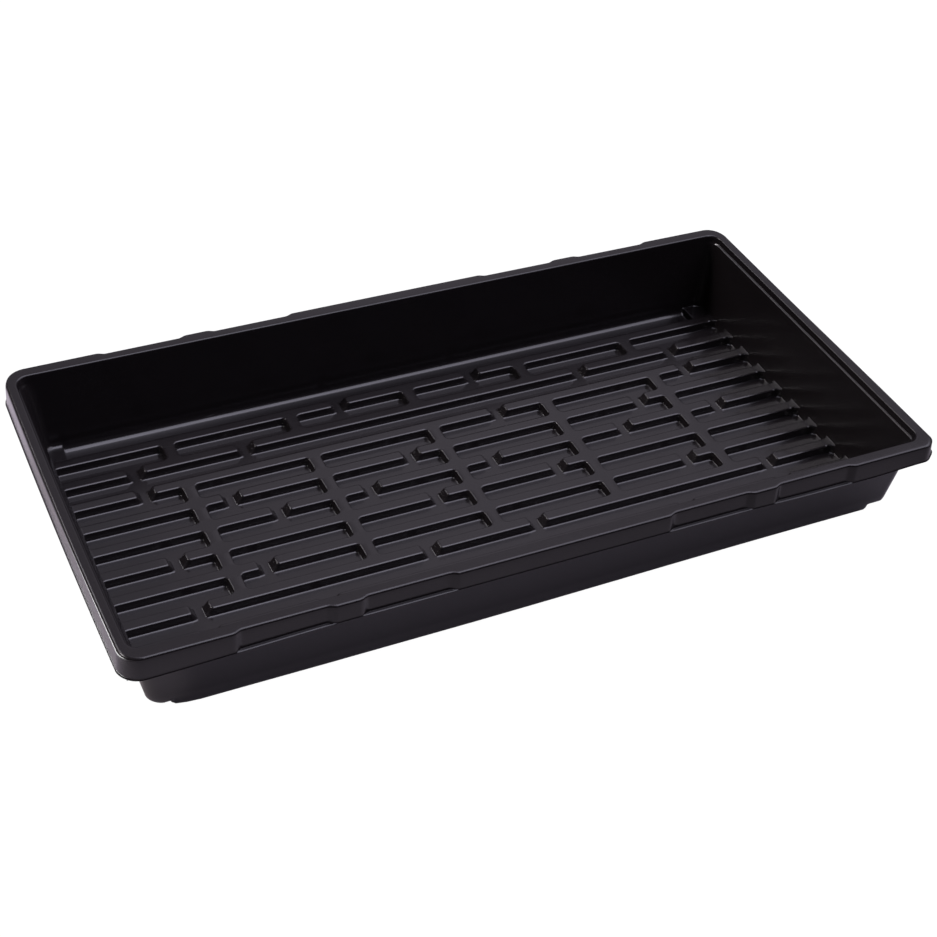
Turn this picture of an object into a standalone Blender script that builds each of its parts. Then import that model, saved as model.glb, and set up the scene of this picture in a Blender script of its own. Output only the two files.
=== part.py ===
"""Propagation tray: one thermoformed sheet of plastic, open at the top.

Frame: origin at the centre of the resting face, X along the long side,
Y across, Z up.  Metres throughout.

The tray is a thin sheet, so it is described twice: once by the shape of its
outer skin and once by the shape of the hollow above it.  The tray is what is
left between the two.  Its floor is a raised deck with long sunken grooves
that run lengthwise, cross ribs that interrupt most of the grooves, and short
channels that join one groove to the next so that water can spread.
"""
import bpy
import bmesh
from math import cos, pi, sin
from mathutils import Vector

MM = 0.001

# ---------------------------------------------------------------- sheet, walls
SHEET = 1.2 * MM            # wall and floor thickness
HEIGHT = 62.0 * MM          # resting face to rim top
DECK = 6.8 * MM             # top of the raised deck and its ribs
GROOVE_FLOOR = SHEET        # top of the groove floors
CHANNEL_FLOOR = 1.3 * MM    # the joining channels are a touch shallower

BASIN_HALF_LOW = (254.0 * MM, 121.8 * MM)   # inner wall at groove level
DRAFT = 0.1316                              # wall lean, run per unit of rise
WALL_RUN = SHEET * 1.009    # level run through a leaning wall one sheet thick
BASIN_RADIUS = 7.5 * MM
BASIN_CORNER_STEPS = 5      # facets in each rounded corner of the basin

# ------------------------------------------------------------------------- rim
RIM_HALF = (270.0 * MM, 138.3 * MM)     # outer edge of the rim's flat top
RIM_RADIUS = 14.0 * MM
RIM_CORNER_STEPS = 6                    # facets in each rounded corner
SKIRT_BOTTOM = 48.5 * MM                # level of the skirt's lower edge
SKIRT_FLARE = 1.2 * MM                  # how far the skirt leans outwards
SCALLOP_DEPTH = 1.9 * MM                # shallow recesses in both long rims
# each recess from x to x, mirrored to -X; the ends are the ramps' middles
SCALLOPS = ((73.0 * MM, 129.0 * MM), (149.0 * MM, 204.5 * MM))
SCALLOP_RAMP = 6.0 * MM                 # length of each end of a recess

# --------------------------------------------------------------------- grooves
ROW_PITCH = 22.73 * MM
ROWS = 4                    # grooves each side of the middle one
GROOVE_HALF = 7.25 * MM     # half width of a groove at deck level
GROOVE_DRAFT = 0.8 * MM     # lean of a groove wall over its depth
GROOVE_RADIUS = 3.0 * MM    # corners in plan, cut as one flat facet
GROOVE_HALF_LENGTH = 264.0 * MM         # grooves run on into the end walls
PLAIN_ROWS = (3, -3)        # grooves with no cross ribs
CROSS_RIB_PITCH = 87.2 * MM
CROSS_RIB_PLACES = (-2, -1, 0, 1, 2)    # multiples of the pitch along X
CROSS_RIB_HALF = 4.25 * MM
GUTTER_ROW = ROWS + 1       # the outermost groove runs along the wall
GUTTER_HALF_LENGTH = 241.0 * MM

# -------------------------------------------------------------------- channels
CHANNEL_STEP = 25.3 * MM
CHANNEL_HALF_LOW = 3.2 * MM     # half width at groove floor level
CHANNEL_HALF_TOP = 6.2 * MM     # half width at deck level
# row: places, for the channels in the rib on the +Y side of that row; the
# places are multiples of CHANNEL_STEP along X
CHANNELS = {
    4: (-2, 2),
    3: (-8, -5, 5, 8),
    2: (-8, 2, 8),
    1: (-6, -1, 6),
    0: (-5, -2.5, 1, 5, 8),
    -1: (-8, -1, 2.5),
    -2: (-6, 6),
    -3: (-8, -2, 1, 8),
    -4: (-8, -5, 5, 8),
    -5: (-2, 2),
}

# ------------------------- overlaps that keep the forms' faces from coinciding
BOSS_TOP = DECK - 0.5 * SHEET           # inside the deck's thickness
HUMP_TOP = DECK - 0.4 * SHEET
GROOVE_CUT_TOP = DECK + 1.2 * MM        # in the open space above the deck
CHANNEL_CUT_TOP = DECK + 1.4 * MM
CHANNEL_OVERLAP = 2.6 * MM              # channel ends reach into the grooves
GUTTER_OVERRUN = 14.0 * MM              # gutters reach past the long walls
SLAB_HALF = 400.0 * MM                  # slabs reach well past the rim
SLAB_TOP = HEIGHT + 20 * MM
BASIN_CUT_BOTTOM = -2 * MM
BASIN_CUT_TOP = HEIGHT + 10 * MM
WALL_TOP = HEIGHT - 0.5 * SHEET         # inside the rim's thickness
SKIRT_CUT_FLARE = SKIRT_FLARE + 0.1 * MM
SKIRT_CUT_BOTTOM = SKIRT_BOTTOM - 1.0 * MM


# --------------------------------------------------------------------- helpers
def new_collection(name):
    collection = bpy.data.collections.new(name)
    bpy.context.scene.collection.children.link(collection)
    return collection


def finish(bm, name, collection):
    """Turn a bmesh into an object."""
    bmesh.ops.recalc_face_normals(bm, faces=bm.faces[:])
    mesh = bpy.data.meshes.new(name)
    bm.to_mesh(mesh)
    bm.free()
    obj = bpy.data.objects.new(name, mesh)
    collection.objects.link(obj)
    return obj


def finish_form(bm, name):
    """Turn a bmesh into a helper that only serves the booleans."""
    obj = finish(bm, name, forms)
    obj.hide_render = True
    obj.display_type = 'WIRE'
    return obj


def boolean(obj, other, operation):
    mod = obj.modifiers.new(operation.lower() + "_" + other.name, 'BOOLEAN')
    mod.object = other
    mod.operation = operation
    mod.solver = 'EXACT'


def add_frustum(bm, centre, low, high, z_low, z_high, radius=0.0, segments=1):
    """A drafted block: half sizes `low` at z_low and `high` at z_high, with
    its upright edges rounded."""
    made = bmesh.ops.create_cube(bm, size=2.0)["verts"]
    for v in made:
        half, z = (high, z_high) if v.co.z > 0 else (low, z_low)
        v.co = Vector((centre[0] + v.co.x * half[0],
                       centre[1] + v.co.y * half[1], z))
    if radius > 0:
        upright = {e for v in made for e in v.link_edges
                   if abs(e.verts[0].co.z - e.verts[1].co.z) > 1e-6}
        bmesh.ops.bevel(bm, geom=list(upright), offset=radius,
                        offset_type='OFFSET', segments=segments, profile=0.5,
                        affect='EDGES')


# ---------------------------------------------------------- grooves and gutters
def groove_spans(row):
    """The lengths of groove in one row, as (x0, x1) at deck level."""
    edges = [-GROOVE_HALF_LENGTH]
    if row not in PLAIN_ROWS:
        for place in CROSS_RIB_PLACES:
            x = place * CROSS_RIB_PITCH
            edges += [x - CROSS_RIB_HALF, x + CROSS_RIB_HALF]
    edges.append(GROOVE_HALF_LENGTH)
    return list(zip(edges[0::2], edges[1::2]))


def groove_form(name, grow, z_low, z_top):
    """Every groove as a drafted block.  `grow` widens the blocks, which
    turns the grooves' hollows into the bosses under them."""
    bm = bmesh.new()

    def add_groove(centre, deck_half):
        def half_at(z):
            lean = GROOVE_DRAFT * (DECK - z) / (DECK - GROOVE_FLOOR)
            return [half + grow - lean for half in deck_half]
        add_frustum(bm, centre, half_at(z_low), half_at(z_top),
                    z_low, z_top, GROOVE_RADIUS)

    for row in range(-ROWS, ROWS + 1):
        for x0, x1 in groove_spans(row):
            add_groove(((x0 + x1) / 2, row * ROW_PITCH),
                       ((x1 - x0) / 2, GROOVE_HALF))
    inner = GUTTER_ROW * ROW_PITCH - GROOVE_HALF
    outer = BASIN_HALF_LOW[1] + GUTTER_OVERRUN
    for side in (-1, 1):
        add_groove((0.0, side * (inner + outer) / 2),
                   (GUTTER_HALF_LENGTH, (outer - inner) / 2))
    return finish_form(bm, name)


# -------------------------------------------------------------------- channels
def channel_form(name, grow, z_low, z_top):
    """The short channels through the ribs, with sides that slope along X.
    `grow` widens them into the humps underneath."""
    bm = bmesh.new()
    slope = (CHANNEL_HALF_TOP - CHANNEL_HALF_LOW) / (DECK - GROOVE_FLOOR)

    def half_width(z):
        return CHANNEL_HALF_LOW + slope * (z - GROOVE_FLOOR) + grow

    for row, places in CHANNELS.items():
        y0 = row * ROW_PITCH + GROOVE_HALF - CHANNEL_OVERLAP
        y1 = (row + 1) * ROW_PITCH - GROOVE_HALF + CHANNEL_OVERLAP
        half_length = (y1 - y0) / 2
        for place in places:
            add_frustum(bm, (place * CHANNEL_STEP, (y0 + y1) / 2),
                        (half_width(z_low), half_length),
                        (half_width(z_top), half_length), z_low, z_top)
    return finish_form(bm, name)


# ------------------------------------------------------------- floor and basin
def slab_form(name, z_low, *additions):
    """Everything above z_low, joined with the shapes sunk below it."""
    bm = bmesh.new()
    add_frustum(bm, (0, 0), (SLAB_HALF, SLAB_HALF), (SLAB_HALF, SLAB_HALF),
                z_low, SLAB_TOP)
    slab = finish_form(bm, name)
    for addition in additions:
        boolean(slab, addition, 'UNION')
    return slab


def make_underside():
    """Space above the floor's lower skin: deck, groove bosses, humps."""
    bosses = groove_form("groove_bosses", SHEET, 0.0, BOSS_TOP)
    humps = channel_form("channel_humps", SHEET, CHANNEL_FLOOR - SHEET, HUMP_TOP)
    return slab_form("underside", DECK - SHEET, bosses, humps)


def make_hollow():
    """Space above the floor's upper skin."""
    grooves = groove_form("groove_hollows", 0.0, GROOVE_FLOOR, GROOVE_CUT_TOP)
    channels = channel_form("channel_hollows", 0.0, CHANNEL_FLOOR, CHANNEL_CUT_TOP)
    return slab_form("hollow", DECK, grooves, channels)


def basin_block(z_low, z_high, wall=0.0):
    """The basin's leaning walls as a solid block, `wall` outside the inner
    skin."""
    def half_at(z):
        run = DRAFT * (z - GROOVE_FLOOR) + wall
        return (BASIN_HALF_LOW[0] + run, BASIN_HALF_LOW[1] + run)

    bm = bmesh.new()
    radius = BASIN_RADIUS + (SHEET if wall else 0.0)
    add_frustum(bm, (0, 0), half_at(z_low), half_at(z_high), z_low, z_high,
                radius, BASIN_CORNER_STEPS)
    return bm


def make_basin():
    """The hollow, cut to the plan of the walls' inner skin."""
    basin = finish_form(basin_block(BASIN_CUT_BOTTOM, BASIN_CUT_TOP), "basin_hollow")
    boolean(basin, make_hollow(), 'INTERSECT')
    return basin


# ------------------------------------------------------------------------- rim
def scallop_stations():
    """(x, depth) along a long rim, in order of rising x."""
    half_ramp = SCALLOP_RAMP / 2
    stations = []
    for start, end in SCALLOPS:
        stations += [(start - half_ramp, 0.0), (start + half_ramp, SCALLOP_DEPTH),
                     (end - half_ramp, SCALLOP_DEPTH), (end + half_ramp, 0.0)]
    return [(-x, depth) for x, depth in reversed(stations)] + stations


def rim_ring(offset, z):
    """One turn around the rim, `offset` outside its top edge: rounded
    corners, scalloped long sides."""
    radius = RIM_RADIUS + offset
    stations = scallop_stations()
    ring = []
    for quarter, (sx, sy) in enumerate(((1, 1), (-1, 1), (-1, -1), (1, -1))):
        for step in range(RIM_CORNER_STEPS + 1):
            angle = (quarter + step / RIM_CORNER_STEPS) * pi / 2
            ring.append(Vector((sx * (RIM_HALF[0] - RIM_RADIUS) + radius * cos(angle),
                                sy * (RIM_HALF[1] - RIM_RADIUS) + radius * sin(angle),
                                z)))
        if quarter in (0, 2):        # a long side follows this corner
            for x, depth in (reversed(stations) if quarter == 0 else stations):
                ring.append(Vector((x, sy * (RIM_HALF[1] + offset - depth), z)))
    return ring


def loft_form(name, rings):
    """A solid through a stack of rings with the same number of points."""
    bm = bmesh.new()
    loops = []
    for ring in rings:
        verts = [bm.verts.new(p) for p in ring]
        loops.append([bm.edges.new((verts[i - 1], verts[i]))
                      for i in range(len(verts))])
    for first, second in zip(loops, loops[1:]):
        bmesh.ops.bridge_loops(bm, edges=first + second)
    bmesh.ops.edgeloop_fill(bm, edges=loops[0])
    bmesh.ops.edgeloop_fill(bm, edges=loops[-1])
    return finish_form(bm, name)


def make_rim():
    """A lid with a skirt, hollow underneath."""
    rim = loft_form("rim_form", [rim_ring(0, HEIGHT),
                                 rim_ring(SKIRT_FLARE, SKIRT_BOTTOM)])
    inside = loft_form("rim_hollow", [rim_ring(-SHEET, HEIGHT - SHEET),
                                      rim_ring(SKIRT_CUT_FLARE - SHEET,
                                               SKIRT_CUT_BOTTOM)])
    boolean(rim, inside, 'DIFFERENCE')
    return rim


# -------------------------------------------------------------------- the tray
def make_plastic():
    plastic = bpy.data.materials.new("black_plastic")
    plastic.use_nodes = True
    shader = plastic.node_tree.nodes["Principled BSDF"]
    settings = {
        "Base Color": (0.012, 0.0115, 0.0125, 1.0),     # near black
        "Roughness": 0.34,                              # a soft sheen
        "Metallic": 0.0,
    }
    for name, value in settings.items():
        shader.inputs[name].default_value = value
    return plastic


def make_tray():
    """The outer skin's solid with its rim, less the hollow of the basin."""
    underside = make_underside()
    basin = make_basin()
    rim = make_rim()
    tray = finish(basin_block(0.0, WALL_TOP, WALL_RUN), "tray", parts)
    boolean(tray, underside, 'INTERSECT')
    boolean(tray, rim, 'UNION')
    boolean(tray, basin, 'DIFFERENCE')
    tray.data.materials.append(make_plastic())


for old in list(bpy.data.objects):
    bpy.data.objects.remove(old, do_unlink=True)
parts = new_collection("seedling_tray")
forms = new_collection("forms")
make_tray()
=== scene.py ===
"""Propagation tray: one thermoformed black sheet.

The tray stands on Z = 0, centred on the origin, with its long sides along X.
Left and right are -X and +X; near and far are -Y and +Y.  "Ends" are the walls
at left and right, "sides" the long walls.  The sheet is a single skin: a curved
grid laid over the floor, up the walls and over the rim, then given its
thickness.  Shaping is in millimetres; the mesh and the studio are in metres.
"""
import math

import bpy
import numpy as np
from mathutils import Matrix, Vector


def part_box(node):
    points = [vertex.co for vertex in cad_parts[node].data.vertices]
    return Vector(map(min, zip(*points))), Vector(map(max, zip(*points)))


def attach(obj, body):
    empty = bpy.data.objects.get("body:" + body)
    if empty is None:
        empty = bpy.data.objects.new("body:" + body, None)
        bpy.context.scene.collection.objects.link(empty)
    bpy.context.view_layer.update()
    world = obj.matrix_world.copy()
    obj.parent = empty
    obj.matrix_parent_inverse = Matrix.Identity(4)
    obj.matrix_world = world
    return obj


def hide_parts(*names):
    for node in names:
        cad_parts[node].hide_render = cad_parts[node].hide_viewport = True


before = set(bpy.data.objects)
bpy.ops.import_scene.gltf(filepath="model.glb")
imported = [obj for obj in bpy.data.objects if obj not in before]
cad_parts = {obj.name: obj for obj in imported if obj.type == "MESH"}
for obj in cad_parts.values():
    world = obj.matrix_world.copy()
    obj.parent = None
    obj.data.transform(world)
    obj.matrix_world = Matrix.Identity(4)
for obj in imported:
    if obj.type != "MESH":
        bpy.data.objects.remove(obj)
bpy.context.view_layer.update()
box_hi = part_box("tray")[1]

# ------------------------------------------------------------------ sizes, mm
SHEET = 1.2
HEIGHT = box_hi.z * 1000.0
FLARE, END_FLARE = 1.2, 1.6               # how far the skirt's lip stands out
RIM_ROUND, END_RIM_ROUND = 1.5, 2.7       # rim's outer edge
RIM_INNER_ROUND = 1.25
RIM_X = box_hi.x * 1000.0 - FLARE         # outer edge of the rim's flat top
RIM_Y = box_hi.y * 1000.0 - FLARE
RIM_REACH_X, RIM_REACH_Y = 16.0, 16.5     # from the wall's foot to that edge
BASE_X, BASE_Y = RIM_X - RIM_REACH_X, RIM_Y - RIM_REACH_Y   # wall at groove level
DRAFT = 0.1316                            # outward lean of the walls, per mm up
WALL_SLOPE = 90 - math.degrees(math.atan(DRAFT))
GROOVE_Z, DECK_Z = SHEET, 6.8
DEPTH = DECK_Z - GROOVE_Z

PITCH = 22.73                             # from groove to groove
ROWS = 4                                  # grooves on each side of the middle one
GROOVE_HALF = 7.25
GROOVE_ROUND = 3.0
END_ROUND = 5.5                           # groove ends against the end walls
OVERRUN = 1.6                             # grooves' outlines run on past the walls
PLAIN_ROWS = (3, -3)                      # grooves that no rib crosses
RIB_PITCH = 87.2
RIBS = 2                                  # ribs on each side of the middle one
RIB_HALF = 4.25
GUTTER_IN = (ROWS + 1) * PITCH - GROOVE_HALF   # inner edge of the outermost groove
GUTTER_END = 239.8
GUTTER_ROUND = 3.5

CHANNEL_PITCH = 25.3
CHANNEL_TOP = 6.2                         # half width at deck level
CHANNEL_ROUND = 1.7                       # rib ends beside a channel, in plan
# land between two grooves, counted from Y = 0: channel places in pitches along X
CHANNELS = {
    4: (-2, 2),
    3: (-8, -5, 5, 8),
    2: (-8, 2, 8),
    1: (-6, -1, 6),
    0: (-5, -2.5, 1, 5, 8),
    -1: (-8, -1, 2.5),
    -2: (-6, 6),
    -3: (-8, -2, 1, 8),
    -4: (-8, -5, 5, 8),
    -5: (-2, 2),
}
SCALLOPS = ((73.0, 129.0), (149.0, 204.5))   # rim recesses: from, to along X
SCALLOP_DEPTH = 1.9
SCALLOP_RAMP = 6.0

FOOT_ROUND, FOOT_ROUND_DECK, FOOT_ROUND_FAR_LEFT = 4.0, 0.7, 3.6

CORE = 7.5                                # ring rounding at the wall's foot
CORE_X, CORE_Y = BASE_X - CORE, BASE_Y - CORE   # where the corner turns begin
# corner (sign of X, sign of Y): plan rounding low on the wall, on the skirt
CORNER_ROUNDS = {
    (-1, 1): (CORE, 14.8),
    (-1, -1): (8.5, 12.6),
    (1, -1): (CORE, 8.6),
    (1, 1): (CORE, 12.6),
}


# ------------------------------------------------------------- small helpers
def ease(value, start=0.0, over=1.0):
    """Smooth 0 to 1 as value goes from start to start + over."""
    t = np.clip((value - start) / over, 0.0, 1.0)
    return t * t * (3 - 2 * t)


def arc(centre_x, centre_z, radius, from_deg, to_deg, count):
    """Points along an arc; angles in degrees from +X towards +Z."""
    angles = np.radians(np.linspace(from_deg, to_deg, count))
    return [(centre_x + radius * math.cos(a), centre_z + radius * math.sin(a))
            for a in angles]


def fillet(corner, slope_in, slope_out, radius, count):
    """Rounds a profile's corner between two slopes, given in degrees of rise;
    returns points in order."""
    turn = math.radians(slope_out - slope_in)
    tangent = radius * abs(math.tan(turn / 2))
    heading = np.array([math.cos(math.radians(slope_in)),
                        math.sin(math.radians(slope_in))])
    start = np.array(corner) - tangent * heading
    bend = 1.0 if turn > 0 else -1.0
    centre = start + bend * radius * np.array([-heading[1], heading[0]])
    spoke = start - centre
    points = []
    for share in np.linspace(0, 1, count):
        cos, sin = math.cos(turn * share), math.sin(turn * share)
        points.append((centre[0] + spoke[0] * cos - spoke[1] * sin,
                       centre[1] + spoke[0] * sin + spoke[1] * cos))
    return points


# ------------------------------------------------------------- step profiles
def step_profile(run, rise, top_round, low_round, count=7):
    """A moulded step from foot to deck as (distance, height) pairs.  Distance
    0 is the unrounded deck edge and -run the unrounded foot."""
    lean = math.atan2(rise, run)
    deg = math.degrees(lean)
    low_tangent = low_round * math.tan(lean / 2)
    top_tangent = top_round * math.tan(lean / 2)
    foot = arc(-run - low_tangent, low_round, low_round, -90, -90 + deg, count)
    crest = arc(top_tangent, rise - top_round, top_round, 90 + deg, 90, count)
    return np.array(foot + crest)


GROOVE_STEP = step_profile(run=0.8, rise=DEPTH, top_round=1.2, low_round=1.25)
CHANNEL_STEP = step_profile(run=3.6, rise=DEPTH, top_round=1.0, low_round=1.2)


def reach(profile, share):
    """Where a step stands at a share of its height."""
    return np.interp(share, profile[:, 1] / DEPTH, profile[:, 0])


# ---------------------------------------------------------------- the floor
NO_RIB = -50.0                            # a distance well inside the groove


def groove_distance(x, y):
    """Distance to the nearest groove's outline, negative inside it."""
    row = np.clip(np.round(y / PITCH), -ROWS, ROWS)
    across = np.abs(y - row * PITCH) - GROOVE_HALF
    rib = np.clip(np.round(x / RIB_PITCH), -RIBS, RIBS) * RIB_PITCH
    along = RIB_HALF - np.abs(x - rib)
    along = np.where(np.isin(row, PLAIN_ROWS), NO_RIB, along)
    past_end = np.abs(x) - (BASE_X + OVERRUN)
    at_wall = past_end > along
    gutter = np.abs(y) > (ROWS * PITCH + GROOVE_HALF + GUTTER_IN) / 2
    inward, outward = GUTTER_IN - np.abs(y), np.abs(y) - (BASE_Y + OVERRUN)
    across = np.where(gutter, np.maximum(inward, outward), across)
    along = np.where(gutter, np.abs(x) - GUTTER_END, np.maximum(along, past_end))
    soft = np.where(gutter & (outward > inward), GUTTER_ROUND,
                    np.where(at_wall & ~gutter, END_ROUND, GROOVE_ROUND))
    along, across = along + soft, across + soft
    return (np.hypot(np.maximum(along, 0), np.maximum(across, 0))
            + np.minimum(np.maximum(along, across), 0) - soft)


def channel_distance(x, y):
    """Distance along X to the nearest channel's edge on the same land."""
    land = np.clip(np.floor(y / PITCH), -ROWS - 1, ROWS).astype(int)
    nearest = np.full(x.shape, 99.0)
    for number, places in CHANNELS.items():
        for place in places:
            distance = np.abs(x - place * CHANNEL_PITCH) - CHANNEL_TOP
            nearest = np.where(land == number, np.minimum(nearest, distance), nearest)
    return nearest


def rib_share(x, y):
    """0 on the groove floors, 1 on the deck, following the moulded steps.
    Found by halving, as the outlines shift with height."""
    to_groove, to_channel = groove_distance(x, y), channel_distance(x, y)
    low, high = np.zeros(x.shape), np.ones(x.shape)
    for _ in range(24):
        middle = (low + high) / 2
        a = to_groove - reach(GROOVE_STEP, middle)
        b = to_channel - reach(CHANNEL_STEP, middle)
        inside = np.where((a < CHANNEL_ROUND) & (b < CHANNEL_ROUND),
                          CHANNEL_ROUND - np.hypot(CHANNEL_ROUND - a, CHANNEL_ROUND - b),
                          np.minimum(a, b))
        solid = inside > 0
        low = np.where(solid, middle, low)
        high = np.where(solid, high, middle)
    return np.where(low < 1e-6, 0.0, np.where(high > 1 - 1e-6, 1.0, low))


def deck_level(x, y):
    """Deck height: slightly raised along the right end, and off level beyond
    the ends of the gutters (near corners higher, far ones lower)."""
    right_pad = 0.3 * ease(x, start=247.9, over=1.5)
    corner = ease(np.abs(y), start=GUTTER_IN - 1.5, over=3.0)
    near_drop = np.where(x < 0, -0.5, -1.2)
    drop = np.where(y < 0, near_drop, 1.3) * corner * ease(np.abs(x), start=236.0, over=3.0)
    return DECK_Z + right_pad * (1 - corner) - drop


def wall_lift(inside, radius):
    """Height above the local floor at a distance inside the wall's foot line,
    for a foot rounded with the given radius."""
    tangent = radius * math.tan(math.radians(WALL_SLOPE) / 2)
    straight_from = -tangent * math.sin(math.atan(DRAFT))
    curve = radius - np.sqrt(np.maximum(radius ** 2 - (tangent - inside) ** 2, 0))
    return np.where(inside >= tangent, 0.0,
                    np.where(inside >= straight_from, curve, -inside / DRAFT))


# ------------------------------------------------------- wall and rim profiles
# Points are (distance out from the wall's foot line, height).  The side and
# end profiles must have equal numbers of points: they share the grid's rings.
LEDGE_Z, LEDGE_OUT = 57.0, 8.62           # stacking ledge under the end rims
LEDGE_SLOPE, RISER_SLOPE = 17, 80         # degrees
END_RIM_IN = 9.35                         # inner edge of the end rims
SKIRT_SLOPE, SKIRT_LEAN = -86, 0.07       # degrees; outward mm per mm down
SKIRT_TOP, LIP_Z = 58.6, 49.5
LIP_SLOPE = -35
SIDE_BEND_Z, END_BEND_Z = 49.9, 50.1      # where the skirt turns out to its lip


def wall_at(z):
    return DRAFT * (z - GROOVE_Z)


def wall_points(heights):
    return [(wall_at(z), z) for z in heights]


def rim_points(flat, outer, radius):
    """The rim's flat top, at the distances given, and its rounded outer edge."""
    return ([(out, HEIGHT) for out in flat]
            + fillet((outer, HEIGHT), 0, SKIRT_SLOPE, radius, count=9))


def skirt_points(outer, bend_z, flare):
    bend = (outer + SKIRT_LEAN * (HEIGHT - bend_z), bend_z)
    return ([(outer + SKIRT_LEAN * (HEIGHT - z), z)
             for z in (SKIRT_TOP, 56.0, 53.4, bend_z + 1.3)]
            + fillet(bend, SKIRT_SLOPE, LIP_SLOPE, radius=0.5, count=3)
            + [(outer + flare - 0.12, LIP_Z + 0.16), (outer + flare, LIP_Z)])


LOW_WALL = wall_points((16, 24, 34, 44, 51, 54.5))
SIDE_WALL = (LOW_WALL + wall_points([55.4 + 0.4 * k for k in range(9)])
             + fillet((wall_at(HEIGHT), HEIGHT), WALL_SLOPE, 0, RIM_INNER_ROUND, count=6))
END_WALL = (
    LOW_WALL
    + fillet((wall_at(LEDGE_Z), LEDGE_Z), WALL_SLOPE, LEDGE_SLOPE, radius=1.25, count=5)
    + fillet((LEDGE_OUT, LEDGE_Z + (LEDGE_OUT - wall_at(LEDGE_Z))
              * math.tan(math.radians(LEDGE_SLOPE))),
             LEDGE_SLOPE, RISER_SLOPE, radius=0.6, count=4)
    + fillet((END_RIM_IN, HEIGHT), RISER_SLOPE, 0, RIM_INNER_ROUND, count=6))
SIDE_TOP = SIDE_WALL + rim_points((10.4, 12.8), RIM_REACH_Y, RIM_ROUND)
END_TOP = END_WALL + rim_points((11.2, 12.8), RIM_REACH_X, END_RIM_ROUND)
SIDE_PROFILE = SIDE_TOP + skirt_points(RIM_REACH_Y, SIDE_BEND_Z, FLARE)
END_PROFILE = END_TOP + skirt_points(RIM_REACH_X, END_BEND_Z, END_FLARE)

# stages count the profile's points from 1; 0 or less is the floor
FLANGE_FROM = len(SIDE_WALL)
SKIRT_FROM = len(SIDE_TOP)
LIP_FROM = SKIRT_FROM + 6
STAGES = len(SIDE_PROFILE)

# ------------------------------------------------------------ rings outwards
# ring distances over the floor and the wall's foot, from the turn centres
FLOOR_RINGS = ([0.4 * k for k in range(1, 9)]
               + [3.2 + 0.33 * k for k in range(1, 11)]
               + [6.5 + 0.2 * k for k in range(1, 6)]
               + [7.5 + 0.125 * k for k in range(1, 11)])
RINGS = len(FLOOR_RINGS) + STAGES


def ring_table(profile):
    """Distance and height of every ring, ring 0 being the floor grid's edge."""
    outs = [0.0] + FLOOR_RINGS + [CORE + point[0] for point in profile]
    heights = [0.0] * (len(FLOOR_RINGS) + 1) + [point[1] for point in profile]
    return np.array(outs), np.array(heights)


end_rings, end_heights = ring_table(END_PROFILE)
side_rings, side_heights = ring_table(SIDE_PROFILE)


def ring_round(low, rim):
    """Plan rounding of every ring: low on the wall, rim on the skirt."""
    return np.interp(end_rings - CORE, [-CORE, 0.0, 1.3, 8.6, 9.6, 16.0, 17.2],
                     [0.0, low, low - 0.1, 8.3, 8.3, rim, rim + 1.0])


# ---------------------------------------------------------------- grid lines
MIN_GAP = 0.11                            # closer lines are dropped
MAX_GAP_X = 5.0                           # wider spans along X are divided
EDGE_GAP = 0.3                            # kept clear beside the outermost lines
# extra lines, as distances out from an edge
RIB_EXTRA = (2.7, 3.6, 4.6)
CHANNEL_EXTRA = (1.2, 1.9)
GUTTER_END_EXTRA = (-2.7, -3.6)
GROOVE_EXTRA = (-2.7, -4.0, 1.9)
GUTTER_EXTRA = (2.9, 4.6, -2.0, 6.4)
NEAR_END_LINES = (237, 239, 244.5)        # distances from X = 0


def merge(values):
    values = sorted(values)
    kept = [values[0]]
    for value in values[1:]:
        if value - kept[-1] >= MIN_GAP:
            kept.append(value)
    return kept


def step_lines(profile):
    """Distances of grid lines across a step, thinned a little."""
    return np.delete(profile[:, 0], (1, 12))


def beside(edge, side, offsets):
    return [edge + side * offset for offset in offsets]


def bounded(values, limit):
    return merge([v for v in values if abs(v) < limit - EDGE_GAP] + [-limit, limit])


def grid_lines_x():
    groove, channel = step_lines(GROOVE_STEP), step_lines(CHANNEL_STEP)
    ribs = [k * RIB_PITCH for k in range(-RIBS, RIBS + 1)]
    channels = [k * CHANNEL_PITCH for places in CHANNELS.values() for k in places]
    scallop_ramp = np.linspace(-SCALLOP_RAMP / 2, SCALLOP_RAMP / 2, 5)
    values = [0.0] + ribs + channels
    for side in (-1, 1):
        for at in ribs:
            values += beside(at + side * RIB_HALF, side, [*-groove, *RIB_EXTRA])
        for at in channels:
            values += beside(at + side * CHANNEL_TOP, side, [*channel, *CHANNEL_EXTRA])
        for at in np.ravel(SCALLOPS):
            values += list(side * at + scallop_ramp)
        values += beside(side * GUTTER_END, side, [*groove, *GUTTER_END_EXTRA])
        values += [side * x for x in NEAR_END_LINES]
    values = bounded(values, CORE_X)
    lines = []
    for a, b in zip(values, values[1:]):
        parts = max(1, math.ceil((b - a) / MAX_GAP_X))
        lines += [a + (b - a) * i / parts for i in range(parts)]
    lines = np.array(lines + [values[-1]])
    return (lines - lines[::-1]) / 2      # made symmetric about X = 0


def grid_lines_y():
    groove = step_lines(GROOVE_STEP)
    rows = [row * PITCH for row in range(-ROWS, ROWS + 1)]
    values = list(rows)
    for side in (-1, 1):
        for at in rows:
            values += beside(at + side * GROOVE_HALF, side, [*groove, *GROOVE_EXTRA])
        values += beside(side * GUTTER_IN, side, [*-groove, *GUTTER_EXTRA])
    return np.array(bounded(values, CORE_Y))


def stations(lines):
    """Coordinate, ring number and side of the tray for each grid line."""
    count = len(lines) + 2 * RINGS
    at = np.concatenate([np.full(RINGS, lines[0]), lines, np.full(RINGS, lines[-1])])
    ring = np.concatenate([np.arange(RINGS, 0, -1), np.zeros(len(lines), int),
                           np.arange(1, RINGS + 1)])
    sign = np.where(np.arange(count) < count / 2, -1.0, 1.0)
    return at, ring, sign


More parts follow.
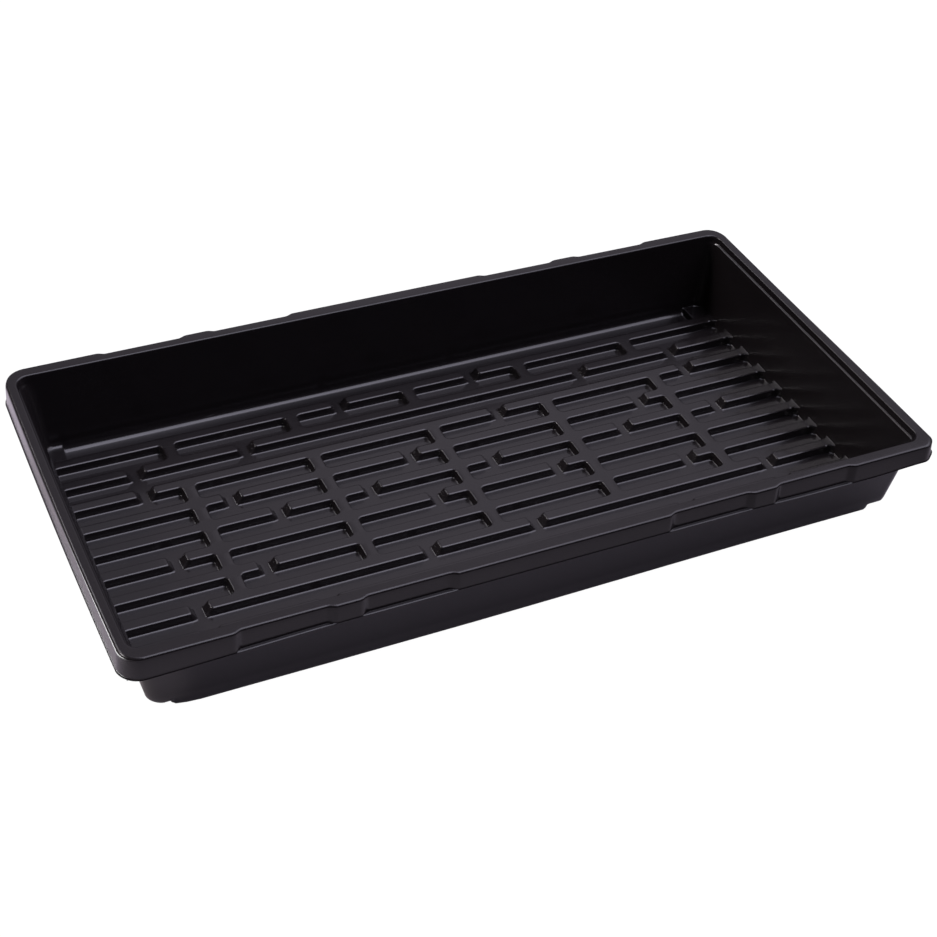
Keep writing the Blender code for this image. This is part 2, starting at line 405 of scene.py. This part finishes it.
(line_x, line_y), (ring_x, ring_y), (sign_x, sign_y) = (
    np.meshgrid(along_x, along_y, indexing="ij")
    for along_x, along_y in zip(stations(grid_lines_x()), stations(grid_lines_y())))
count_x, count_y = line_x.shape
ring = np.maximum(ring_x, ring_y)
stage = ring - len(FLOOR_RINGS)
end_out, side_out = end_rings[ring], side_rings[ring]
foot_inside = np.clip(CORE - end_out, 0, None)   # distance inside the wall's foot

corner = (ring_x > 0) & (ring_y > 0)
end_band = (ring_x > 0) & (ring_y == 0)
side_band = (ring_y > 0) & (ring_x == 0)
# degrees round the corner: 0 where the end wall starts, 90 where the side does
turn = np.where(ring_x >= ring_y, 45.0 * ring_y / np.maximum(ring_x, 1),
                90.0 - 45.0 * ring_x / np.maximum(ring_y, 1))
# a turn of the corner belongs to the end near 0 degrees, to the side near 90
to_end = np.where(corner, 1 - ease(turn, over=50.0), np.where(end_band, 1.0, 0.0))
to_side = 1 - to_end


# ------------------------------------------------------------- the top skin
def scallop(x):
    """Depth of the recess in a long rim at position x."""
    x, depth = np.abs(x), np.zeros(np.shape(x))
    half = SCALLOP_RAMP / 2
    for a, b in SCALLOPS:
        depth = np.maximum(depth, np.minimum(ease(x, start=a - half, over=SCALLOP_RAMP),
                                             ease(b + half - x, over=SCALLOP_RAMP)))
    return SCALLOP_DEPTH * depth


def plan():
    """X and Y of every grid point."""
    rounding = np.zeros(ring.shape)
    for (at_x, at_y), rounds in CORNER_ROUNDS.items():
        here = (sign_x == at_x) & (sign_y == at_y)
        rounding = np.where(here, ring_round(*rounds)[ring], rounding)
    # how far the turn's centre has moved; lines near the corner follow it
    shift_x, shift_y = end_out - rounding, side_out - rounding
    blend = 26.0
    pull_x = ease(np.abs(line_x), start=CORE_X - blend, over=blend) * np.sign(line_x)
    pull_y = ease(np.abs(line_y), start=CORE_Y - blend, over=blend) * np.sign(line_y)
    angle = np.radians(turn)
    x = np.where(end_band, sign_x * (CORE_X + end_out), line_x)
    x = np.where(side_band, line_x + pull_x * shift_x, x)
    x = np.where(corner, sign_x * (CORE_X + shift_x + rounding * np.cos(angle)), x)
    y = np.where(end_band, line_y + pull_y * shift_y, line_y)
    y = np.where(side_band, sign_y * (CORE_Y + side_out), y)
    y = np.where(corner, sign_y * (CORE_Y + shift_y + rounding * np.sin(angle)), y)
    # the scallops fade in across the rim and out again at the lip
    share = np.interp(stage, [FLANGE_FROM, FLANGE_FROM + 2, LIP_FROM, STAGES - 1, STAGES],
                      [0.0, 1.0, 1.0, 0.0, 0.0])
    return x, np.where(side_band, y - sign_y * share * scallop(x), y)


def heights(x, y):
    """Z of every grid point."""
    rib = rib_share(x, y)
    floor_z = GROOVE_Z + rib * (deck_level(x, y) - GROOVE_Z)
    gutter_side = to_side * (1 - rib)
    deck_foot = np.where((x < -225.0) & (y > 0), FOOT_ROUND_FAR_LEFT, FOOT_ROUND_DECK)
    gutter_foot = FOOT_ROUND + 0.5 * ease(-x, start=120.0, over=110.0)
    foot = deck_foot + (gutter_foot - deck_foot) * gutter_side
    lift = wall_lift(CORE + DRAFT * (floor_z - GROOVE_Z) - end_out, foot)
    # the gutter floor turns up gently before the long walls
    lift = lift + gutter_side * 0.8 * np.clip(1 - foot_inside / CORE, 0, 1) ** 2 * (lift < 1.5)
    z = floor_z + lift
    # towards the left end the far gutter's whole floor dishes up to the wall
    from_wall = np.clip(BASE_Y - y, 0, None)
    z += (gutter_side * 1.2 * ease(-x, start=60.0, over=130.0)
          * np.clip(1 - from_wall / 13.0, 0, 1) ** 2 * (y > 0))
    staged = side_heights[ring] + (end_heights[ring] - side_heights[ring]) * to_end
    return np.where(stage > 0, staged, z)


def warp(x, y, z):
    """A thin sheet never lies quite true: the rim bows a little, and its
    trimmed edge hangs lower towards the left end."""
    rise = np.clip((z - 20.0) / 38.0, 0, 1)
    bow_x = np.clip(1 - (x / RIM_X) ** 2, 0, 1)
    bow_y = np.clip(1 - (y / RIM_Y) ** 2, 0, 1)
    on_rim = ease(stage, start=FLANGE_FROM - 1, over=3.0)
    on_skirt = ease(stage, start=SKIRT_FROM + 1, over=5.0)
    nearer = ease(-y, start=-60.0, over=160.0)
    # the left end bows out; the right rim stands out, most at the near side
    left_bow = np.where(x < 0, -1.5 * bow_y, 0.0) * rise
    right_rim = np.where(x > 0, 0.5 + 1.0 * nearer, 0.0) * on_rim
    right_skirt = np.where(x > 0, 1.6 * nearer, 0.0) * on_skirt
    # the left wall is drawn inwards below its top
    left_in = (2.6 * ease(-x, start=236.0, over=16.0)
               * np.clip((57.0 - z) / 8.0, 0, 1) * (stage <= 8))
    # the far side stands out; the near wall's foot does so between its ends
    far_out = np.where(y > 0, (0.3 + 1.0 * bow_x) * on_rim + 0.5 * rise, 0.0)
    near_foot = (np.where(y < 0, 2.4, 0.0) * np.clip((30.0 - z) / 30.0, 0, 1)
                 * ease(1.0 - foot_inside) * ease(-x, start=-180.0, over=260.0)
                 * ease(x, start=-240.0, over=14.0))
    # the skirt hangs at the left end and, less, short of the right corners
    hang = (3.2 * ease(-x, start=130.0, over=140.0)
            + 1.2 * ease(x, start=120.0, over=60.0) * ease(-x, start=-262.0, over=40.0))
    hang *= np.clip((SKIRT_TOP - z) / (SKIRT_TOP - LIP_Z), 0, 1)
    return (x + (left_bow + right_rim + right_skirt) * to_end + left_in,
            y + (far_out - near_foot) * to_side,
            np.where(stage >= SKIRT_FROM, z - hang, z))


# ------------------------------------------------------------- the tray mesh
def grid_normals(points):
    normals = np.cross(np.gradient(points, axis=0), np.gradient(points, axis=1))
    return normals / np.maximum(np.linalg.norm(normals, axis=2, keepdims=True), 1e-9)


def every_second(count):
    return np.unique(np.append(np.arange(0, count, 2), count - 1))


def grid_faces(width, height, start, flip):
    i, j = np.meshgrid(np.arange(width - 1), np.arange(height - 1), indexing="ij")
    first = start + i * height + j
    quads = np.stack([first, first + height, first + height + 1, first + 1],
                     axis=2).reshape(-1, 4)
    return quads[:, ::-1] if flip else quads


def edge_strip(under_x, under_y):
    """Closes the trimmed edge between the fine skin and the coarser one."""
    faces = []
    last_x, last_y = len(under_x) - 1, len(under_y) - 1

    def top(i, j):
        return i * count_y + j

    def under(i, j):
        return count_x * count_y + i * len(under_y) + j

    for i in range(last_x):
        fine = range(under_x[i], under_x[i + 1] + 1)
        faces.append([top(k, 0) for k in reversed(fine)] + [under(i, 0), under(i + 1, 0)])
        faces.append([top(k, count_y - 1) for k in fine]
                     + [under(i + 1, last_y), under(i, last_y)])
    for j in range(last_y):
        fine = range(under_y[j], under_y[j + 1] + 1)
        faces.append([top(0, k) for k in fine] + [under(0, j + 1), under(0, j)])
        faces.append([top(count_x - 1, k) for k in reversed(fine)]
                     + [under(last_x, j), under(last_x, j + 1)])
    return faces


def tray_mesh(name):
    upper = np.stack(warp(*(plan_xy := plan()), heights(*plan_xy)), axis=2)
    # under side: the same skin one sheet down, on every second grid line
    under_x, under_y = every_second(count_x), every_second(count_y)
    lower = (upper - SHEET * grid_normals(upper))[np.ix_(under_x, under_y)]
    lower[..., 2] = np.maximum(lower[..., 2], 0.0)
    points = np.concatenate([upper.reshape(-1, 3), lower.reshape(-1, 3)]) * 0.001

    top = grid_faces(count_x, count_y, start=0, flip=False)
    low = grid_faces(len(under_x), len(under_y), start=count_x * count_y, flip=True)
    strip = edge_strip(under_x, under_y)
    loops = np.concatenate([top.ravel(), low.ravel(), np.concatenate(strip)])
    sizes = np.concatenate([np.full(len(top) + len(low), 4), [len(face) for face in strip]])
    starts = np.concatenate([[0], np.cumsum(sizes)[:-1]])

    mesh = bpy.data.meshes.new(name)
    mesh.vertices.add(len(points))
    mesh.vertices.foreach_set("co", points.astype(np.float32).ravel())
    mesh.loops.add(len(loops))
    mesh.loops.foreach_set("vertex_index", loops.astype(np.int32))
    mesh.polygons.add(len(sizes))
    mesh.polygons.foreach_set("loop_start", starts.astype(np.int32))
    mesh.update(calc_edges=True)
    mesh.validate()
    mesh.shade_smooth()
    mesh.set_sharp_from_angle(angle=math.radians(55))
    return mesh


tray = bpy.data.objects.new("tray_sheet", tray_mesh("tray_sheet"))
bpy.context.scene.collection.objects.link(tray)


# ------------------------------------------------------------ shader helpers
class Graph:
    """Builds one node tree.  Any input takes a plain value or a socket."""

    def __init__(self, owner, clear=True):
        owner.use_nodes = True
        self.tree = owner.node_tree
        if clear:
            self.tree.nodes.clear()

    def feed(self, socket, value):
        if isinstance(value, bpy.types.NodeSocket):
            self.tree.links.new(value, socket)
        else:
            socket.default_value = value

    def add(self, kind, *inputs, **settings):
        """Adds a node.  Settings are its properties or named inputs; the
        other values go to its inputs in order."""
        node = self.tree.nodes.new("ShaderNode" + kind)
        for name, value in settings.items():
            if name in node.inputs:
                self.feed(node.inputs[name], value)
            else:
                setattr(node, name, value)
        for socket, value in zip(node.inputs, inputs):
            self.feed(socket, value)
        return node

    def ramp(self, value, over, to=(0.0, 1.0), kind="SMOOTHSTEP"):
        """Maps value from the range over onto the range to."""
        node = self.add("MapRange", interpolation_type=kind, Value=value)
        for name, number in zip(("From Min", "From Max", "To Min", "To Max"), (*over, *to)):
            node.inputs[name].default_value = number
        return node.outputs["Result"]

    def times(self, a, b):
        return self.add("Math", a, b, operation="MULTIPLY").outputs[0]

    def vector(self, operation, *inputs):
        return self.add("VectorMath", *inputs, operation=operation)

    def both(self, a, b):
        return self.add("AddShader", a, b).outputs[0]


# ------------------------------------------------------------------ material
def black_plastic():
    material = bpy.data.materials.new("thermoformed_black")
    graph = Graph(material, clear=False)
    shader = graph.tree.nodes["Principled BSDF"]
    black, dust_grey = (0.0126, 0.0105, 0.0113, 1), (0.10, 0.09, 0.09, 1)
    shader.inputs["Base Color"].default_value = black
    shader.inputs["IOR"].default_value = 1.46
    shader.inputs["Coat Roughness"].default_value = 0.07
    place = graph.add("TexCoord").outputs["Object"]

    def linear(value, over, to):
        return graph.ramp(value, over, to, kind="LINEAR")

    def noise(scale, detail):
        return graph.add("TexNoise", Scale=scale, Detail=detail, Vector=place).outputs["Fac"]

    # the floor took a glossier finish from the mould than the walls did
    height = graph.add("SeparateXYZ", place).outputs["Z"]
    coat = linear(height, over=(0.009, 0.013), to=(0.30, 0.0))
    rough = linear(noise(scale=55.0, detail=3.0), over=(0.35, 0.65), to=(0.18, 0.23))
    # slow waves of a drawn sheet under a very fine grain
    waves = graph.add("Bump", Strength=0.35, Distance=0.0006,
                      Height=noise(scale=26.0, detail=1.0))
    grain = graph.add("Bump", Strength=0.10, Distance=0.0001,
                      Height=noise(scale=1400.0, detail=2.0),
                      Normal=waves.outputs["Normal"])
    # a few specks of dust, in some of the cells only
    cells = graph.add("TexVoronoi", Scale=70.0, Vector=place)
    pick = graph.add("SeparateColor", cells.outputs["Color"]).outputs[0]
    speck = graph.times(
        linear(cells.outputs["Distance"], over=(0.016, 0.030), to=(1.0, 0.0)),
        linear(pick, over=(0.72, 0.95), to=(0.0, 1.0)))
    dust = graph.add("Mix", data_type="RGBA", Factor=speck, A=black, B=dust_grey)
    for name, socket in (("Coat Weight", coat), ("Roughness", rough),
                         ("Normal", grain.outputs["Normal"]),
                         ("Base Color", dust.outputs["Result"])):
        graph.feed(shader.inputs[name], socket)
    return material


tray.data.materials.append(black_plastic())
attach(tray, "root")
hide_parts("tray")

# --------------------------------------------------------- floor, light, camera
WHITE = (1, 1, 1, 1)

bpy.ops.mesh.primitive_plane_add(size=12.0, location=(0, 0, -0.0004))
floor = bpy.context.object
floor.name = "studio_floor"


def floor_material():
    """White to the camera; other rays meet a ground with painted light and shade: its colour
    is brighter or darker by place.
    """
    material = bpy.data.materials.new("studio_floor")
    graph = Graph(material)
    ramp, times = graph.ramp, graph.times
    white = graph.add("Emission", Color=WHITE, Strength=1.0)
    shade = graph.add("BsdfDiffuse", Color=(0.04, 0.04, 0.04, 1))
    seen = graph.both(white.outputs[0], shade.outputs[0])

    place = graph.add("NewGeometry").outputs["Position"]
    split = graph.add("SeparateXYZ", place)
    at_x, at_y = split.outputs["X"], split.outputs["Y"]
    # distance from the tray's outline
    away = graph.vector("ABSOLUTE", place).outputs[0]
    past = graph.vector("SUBTRACT", away, (box_hi.x, box_hi.y, 0.0)).outputs[0]
    outside = graph.vector("MAXIMUM", past).outputs[0]
    gap = graph.vector("LENGTH", outside).outputs["Value"]

    # painted light and shade: the ground's colour is brighter beside the tray and darker away
    # from it and towards the right
    painted_falloff = times(ramp(gap, over=(0.0, 0.11), to=(0.90, 0.42)),
                 ramp(at_x, over=(-0.12, 0.30), to=(0.94, 0.68)))
    # painted light: the ground's colour is paler on the left, except at the near side
    pale = times(ramp(at_x, over=(-0.264, -0.290)), ramp(at_y, over=(-0.150, -0.035)))
    level = graph.add("Mix", data_type="FLOAT", Factor=pale, A=painted_falloff, B=1.12)
    # and the painted brightness falls off again farther out
    bright = times(level.outputs["Result"], ramp(gap, over=(0.13, 0.33), to=(1.0, 0.12)))
    # the ground's pale tint, scaled by the painted light and shade above
    painted_light_tint = graph.vector("SCALE", (0.90, 0.84, 0.87))
    graph.feed(painted_light_tint.inputs["Scale"], bright)
    plain = graph.add("BsdfDiffuse", Color=painted_light_tint.outputs[0])

    # painted light: a glowing patch of ground far out to the left stands in for a pool of
    # sunlight
    lit = ramp(at_x, over=(-0.36, -0.44))
    for edge in (ramp(at_x, over=(-1.3, -1.1)), ramp(at_y, over=(-0.20, -0.12)),
                 ramp(at_y, over=(0.07, 0.17), to=(1.0, 0.0))):
        lit = times(lit, edge)
    painted_sun_strength = 18.0
    painted_sun_glow = graph.add("Emission", Strength=times(lit, painted_sun_strength))
    ground = graph.both(plain.outputs[0], painted_sun_glow.outputs[0])

    camera_ray = graph.add("LightPath").outputs["Is Camera Ray"]
    mix = graph.add("MixShader", camera_ray, ground, seen)
    graph.add("OutputMaterial", mix.outputs[0])
    return material


floor.data.materials.append(floor_material())

BACKDROP = 0.50                           # strengths
SOFT_LIGHT = 3.9
# windows high on the far left: a dim one, its bright pane, a pale one, and a
# lower pane that sparkles on the channel ends.  Turns are degrees from +X
# towards +Y, rises degrees above the horizon.
WINDOWS = (
    dict(turns=(132, 168), rises=(33, 45), strength=3.0, colour=(1.0, 0.88, 0.84)),
    dict(turns=(147, 161), rises=(40, 46), strength=45.0, colour=(1.0, 0.96, 1.0)),
    dict(turns=(112, 129), rises=(42, 55), strength=4.5, colour=(1.0, 0.94, 1.0)),
    dict(turns=(118, 130), rises=(27, 37), strength=6.0, colour=(1.0, 0.97, 1.04)),
)
TURN_BLUR, RISE_BLUR = 0.05, 0.03         # soft window edges: radians, sine


def studio_world():
    """Pale backdrop behind the tray, a dim room behind the camera and one
    large soft light overhead, right of centre.  The camera sees plain white."""
    world = bpy.data.worlds.new("studio")
    graph = Graph(world)
    ramp, times = graph.ramp, graph.times
    toward = graph.add("TexCoord").outputs["Generated"]
    split = graph.add("SeparateXYZ", toward)
    aim_x, aim_y, height = (split.outputs[axis] for axis in "XYZ")
    around = graph.add("Math", aim_y, aim_x, operation="ARCTAN2").outputs[0]

    def light(strength, colour):
        return graph.add("Background", Color=(*colour, 1), Strength=strength).outputs[0]

    def window(turns, rises, strength, colour):
        turn_from, turn_to = (math.radians(a) for a in turns)
        low, high = (math.sin(math.radians(a)) for a in rises)
        across = times(
            ramp(around, over=(turn_from - TURN_BLUR, turn_from + TURN_BLUR)),
            ramp(around, over=(turn_to - TURN_BLUR, turn_to + TURN_BLUR), to=(1.0, 0.0)))
        upward = times(
            ramp(height, over=(low - RISE_BLUR, low + RISE_BLUR)),
            ramp(height, over=(high - RISE_BLUR, high + RISE_BLUR), to=(strength, 0.0)))
        return light(times(across, upward), colour)

    # the backdrop, dimmer towards the left, far right and horizon
    facing = graph.vector("DOT_PRODUCT", toward,
                          Vector((0.47, 0.88, 0.0)).normalized()).outputs["Value"]
    wide = times(ramp(facing, over=(-0.25, 0.35), to=(0.04, BACKDROP)),
                 ramp(around, over=(math.radians(100), math.radians(119)), to=(1.0, 0.10)))
    wide = times(wide, times(ramp(aim_x, over=(0.36, 0.56), to=(1.0, 0.68)),
                             ramp(aim_x, over=(0.14, 0.34), to=(0.66, 1.0))))
    back = light(times(wide, ramp(height, over=(0.12, 0.48), to=(0.30, 1.0))),
                 colour=(1.06, 1.0, 1.16))
    # a broad soft light overhead that begins just right of centre
    above = times(times(ramp(aim_y, over=(-0.60, -0.48)),
                        ramp(aim_y, over=(0.32, 0.55), to=(1.0, 0.0))),
                  times(ramp(aim_x, over=(0.0, 0.13)),
                        ramp(aim_x, over=(-0.10, 0.62), to=(1.0, 0.45))))
    soft = light(times(above, ramp(height, over=(0.45, 0.62), to=(0.0, SOFT_LIGHT))),
                 colour=(0.99, 0.96, 1.16))
    dim, pane, pale, low_pane = (window(**values) for values in WINDOWS)
    room = graph.both(graph.both(back, soft),
                      graph.both(graph.both(dim, pane), graph.both(pale, low_pane)))

    seen = graph.add("Background", Color=WHITE).outputs[0]
    camera_ray = graph.add("LightPath").outputs["Is Camera Ray"]
    mix = graph.add("MixShader", camera_ray, room, seen)
    graph.add("OutputWorld", mix.outputs[0])
    bpy.context.scene.world = world


def add_camera(place, forward, right):
    """Camera at place, looking along forward; right is squared up to it."""
    data = bpy.data.cameras.new("camera")
    data.sensor_width = 36.0
    data.lens = 66.81
    data.shift_y = -0.0004
    data.clip_start, data.clip_end = 0.01, 50.0
    camera = bpy.data.objects.new("camera", data)
    bpy.context.scene.collection.objects.link(camera)
    forward = Vector(forward).normalized()
    up = Vector(right).normalized().cross(forward).normalized()
    right = forward.cross(up).normalized()
    rows = [(right[k], up[k], -forward[k], place[k]) for k in range(3)]
    camera.matrix_world = Matrix((*rows, (0, 0, 0, 1)))
    bpy.context.scene.camera = camera


studio_world()
add_camera(place=(-0.4126, -0.78744, 0.7495),
           forward=(0.35877, 0.68099, -0.63838),
           right=(0.90614, -0.41824, 0.06310))
bpy.context.scene.view_settings.view_transform = "Standard"
bpy.context.scene.view_settings.look = "None"

bpy.context.view_layer.update()
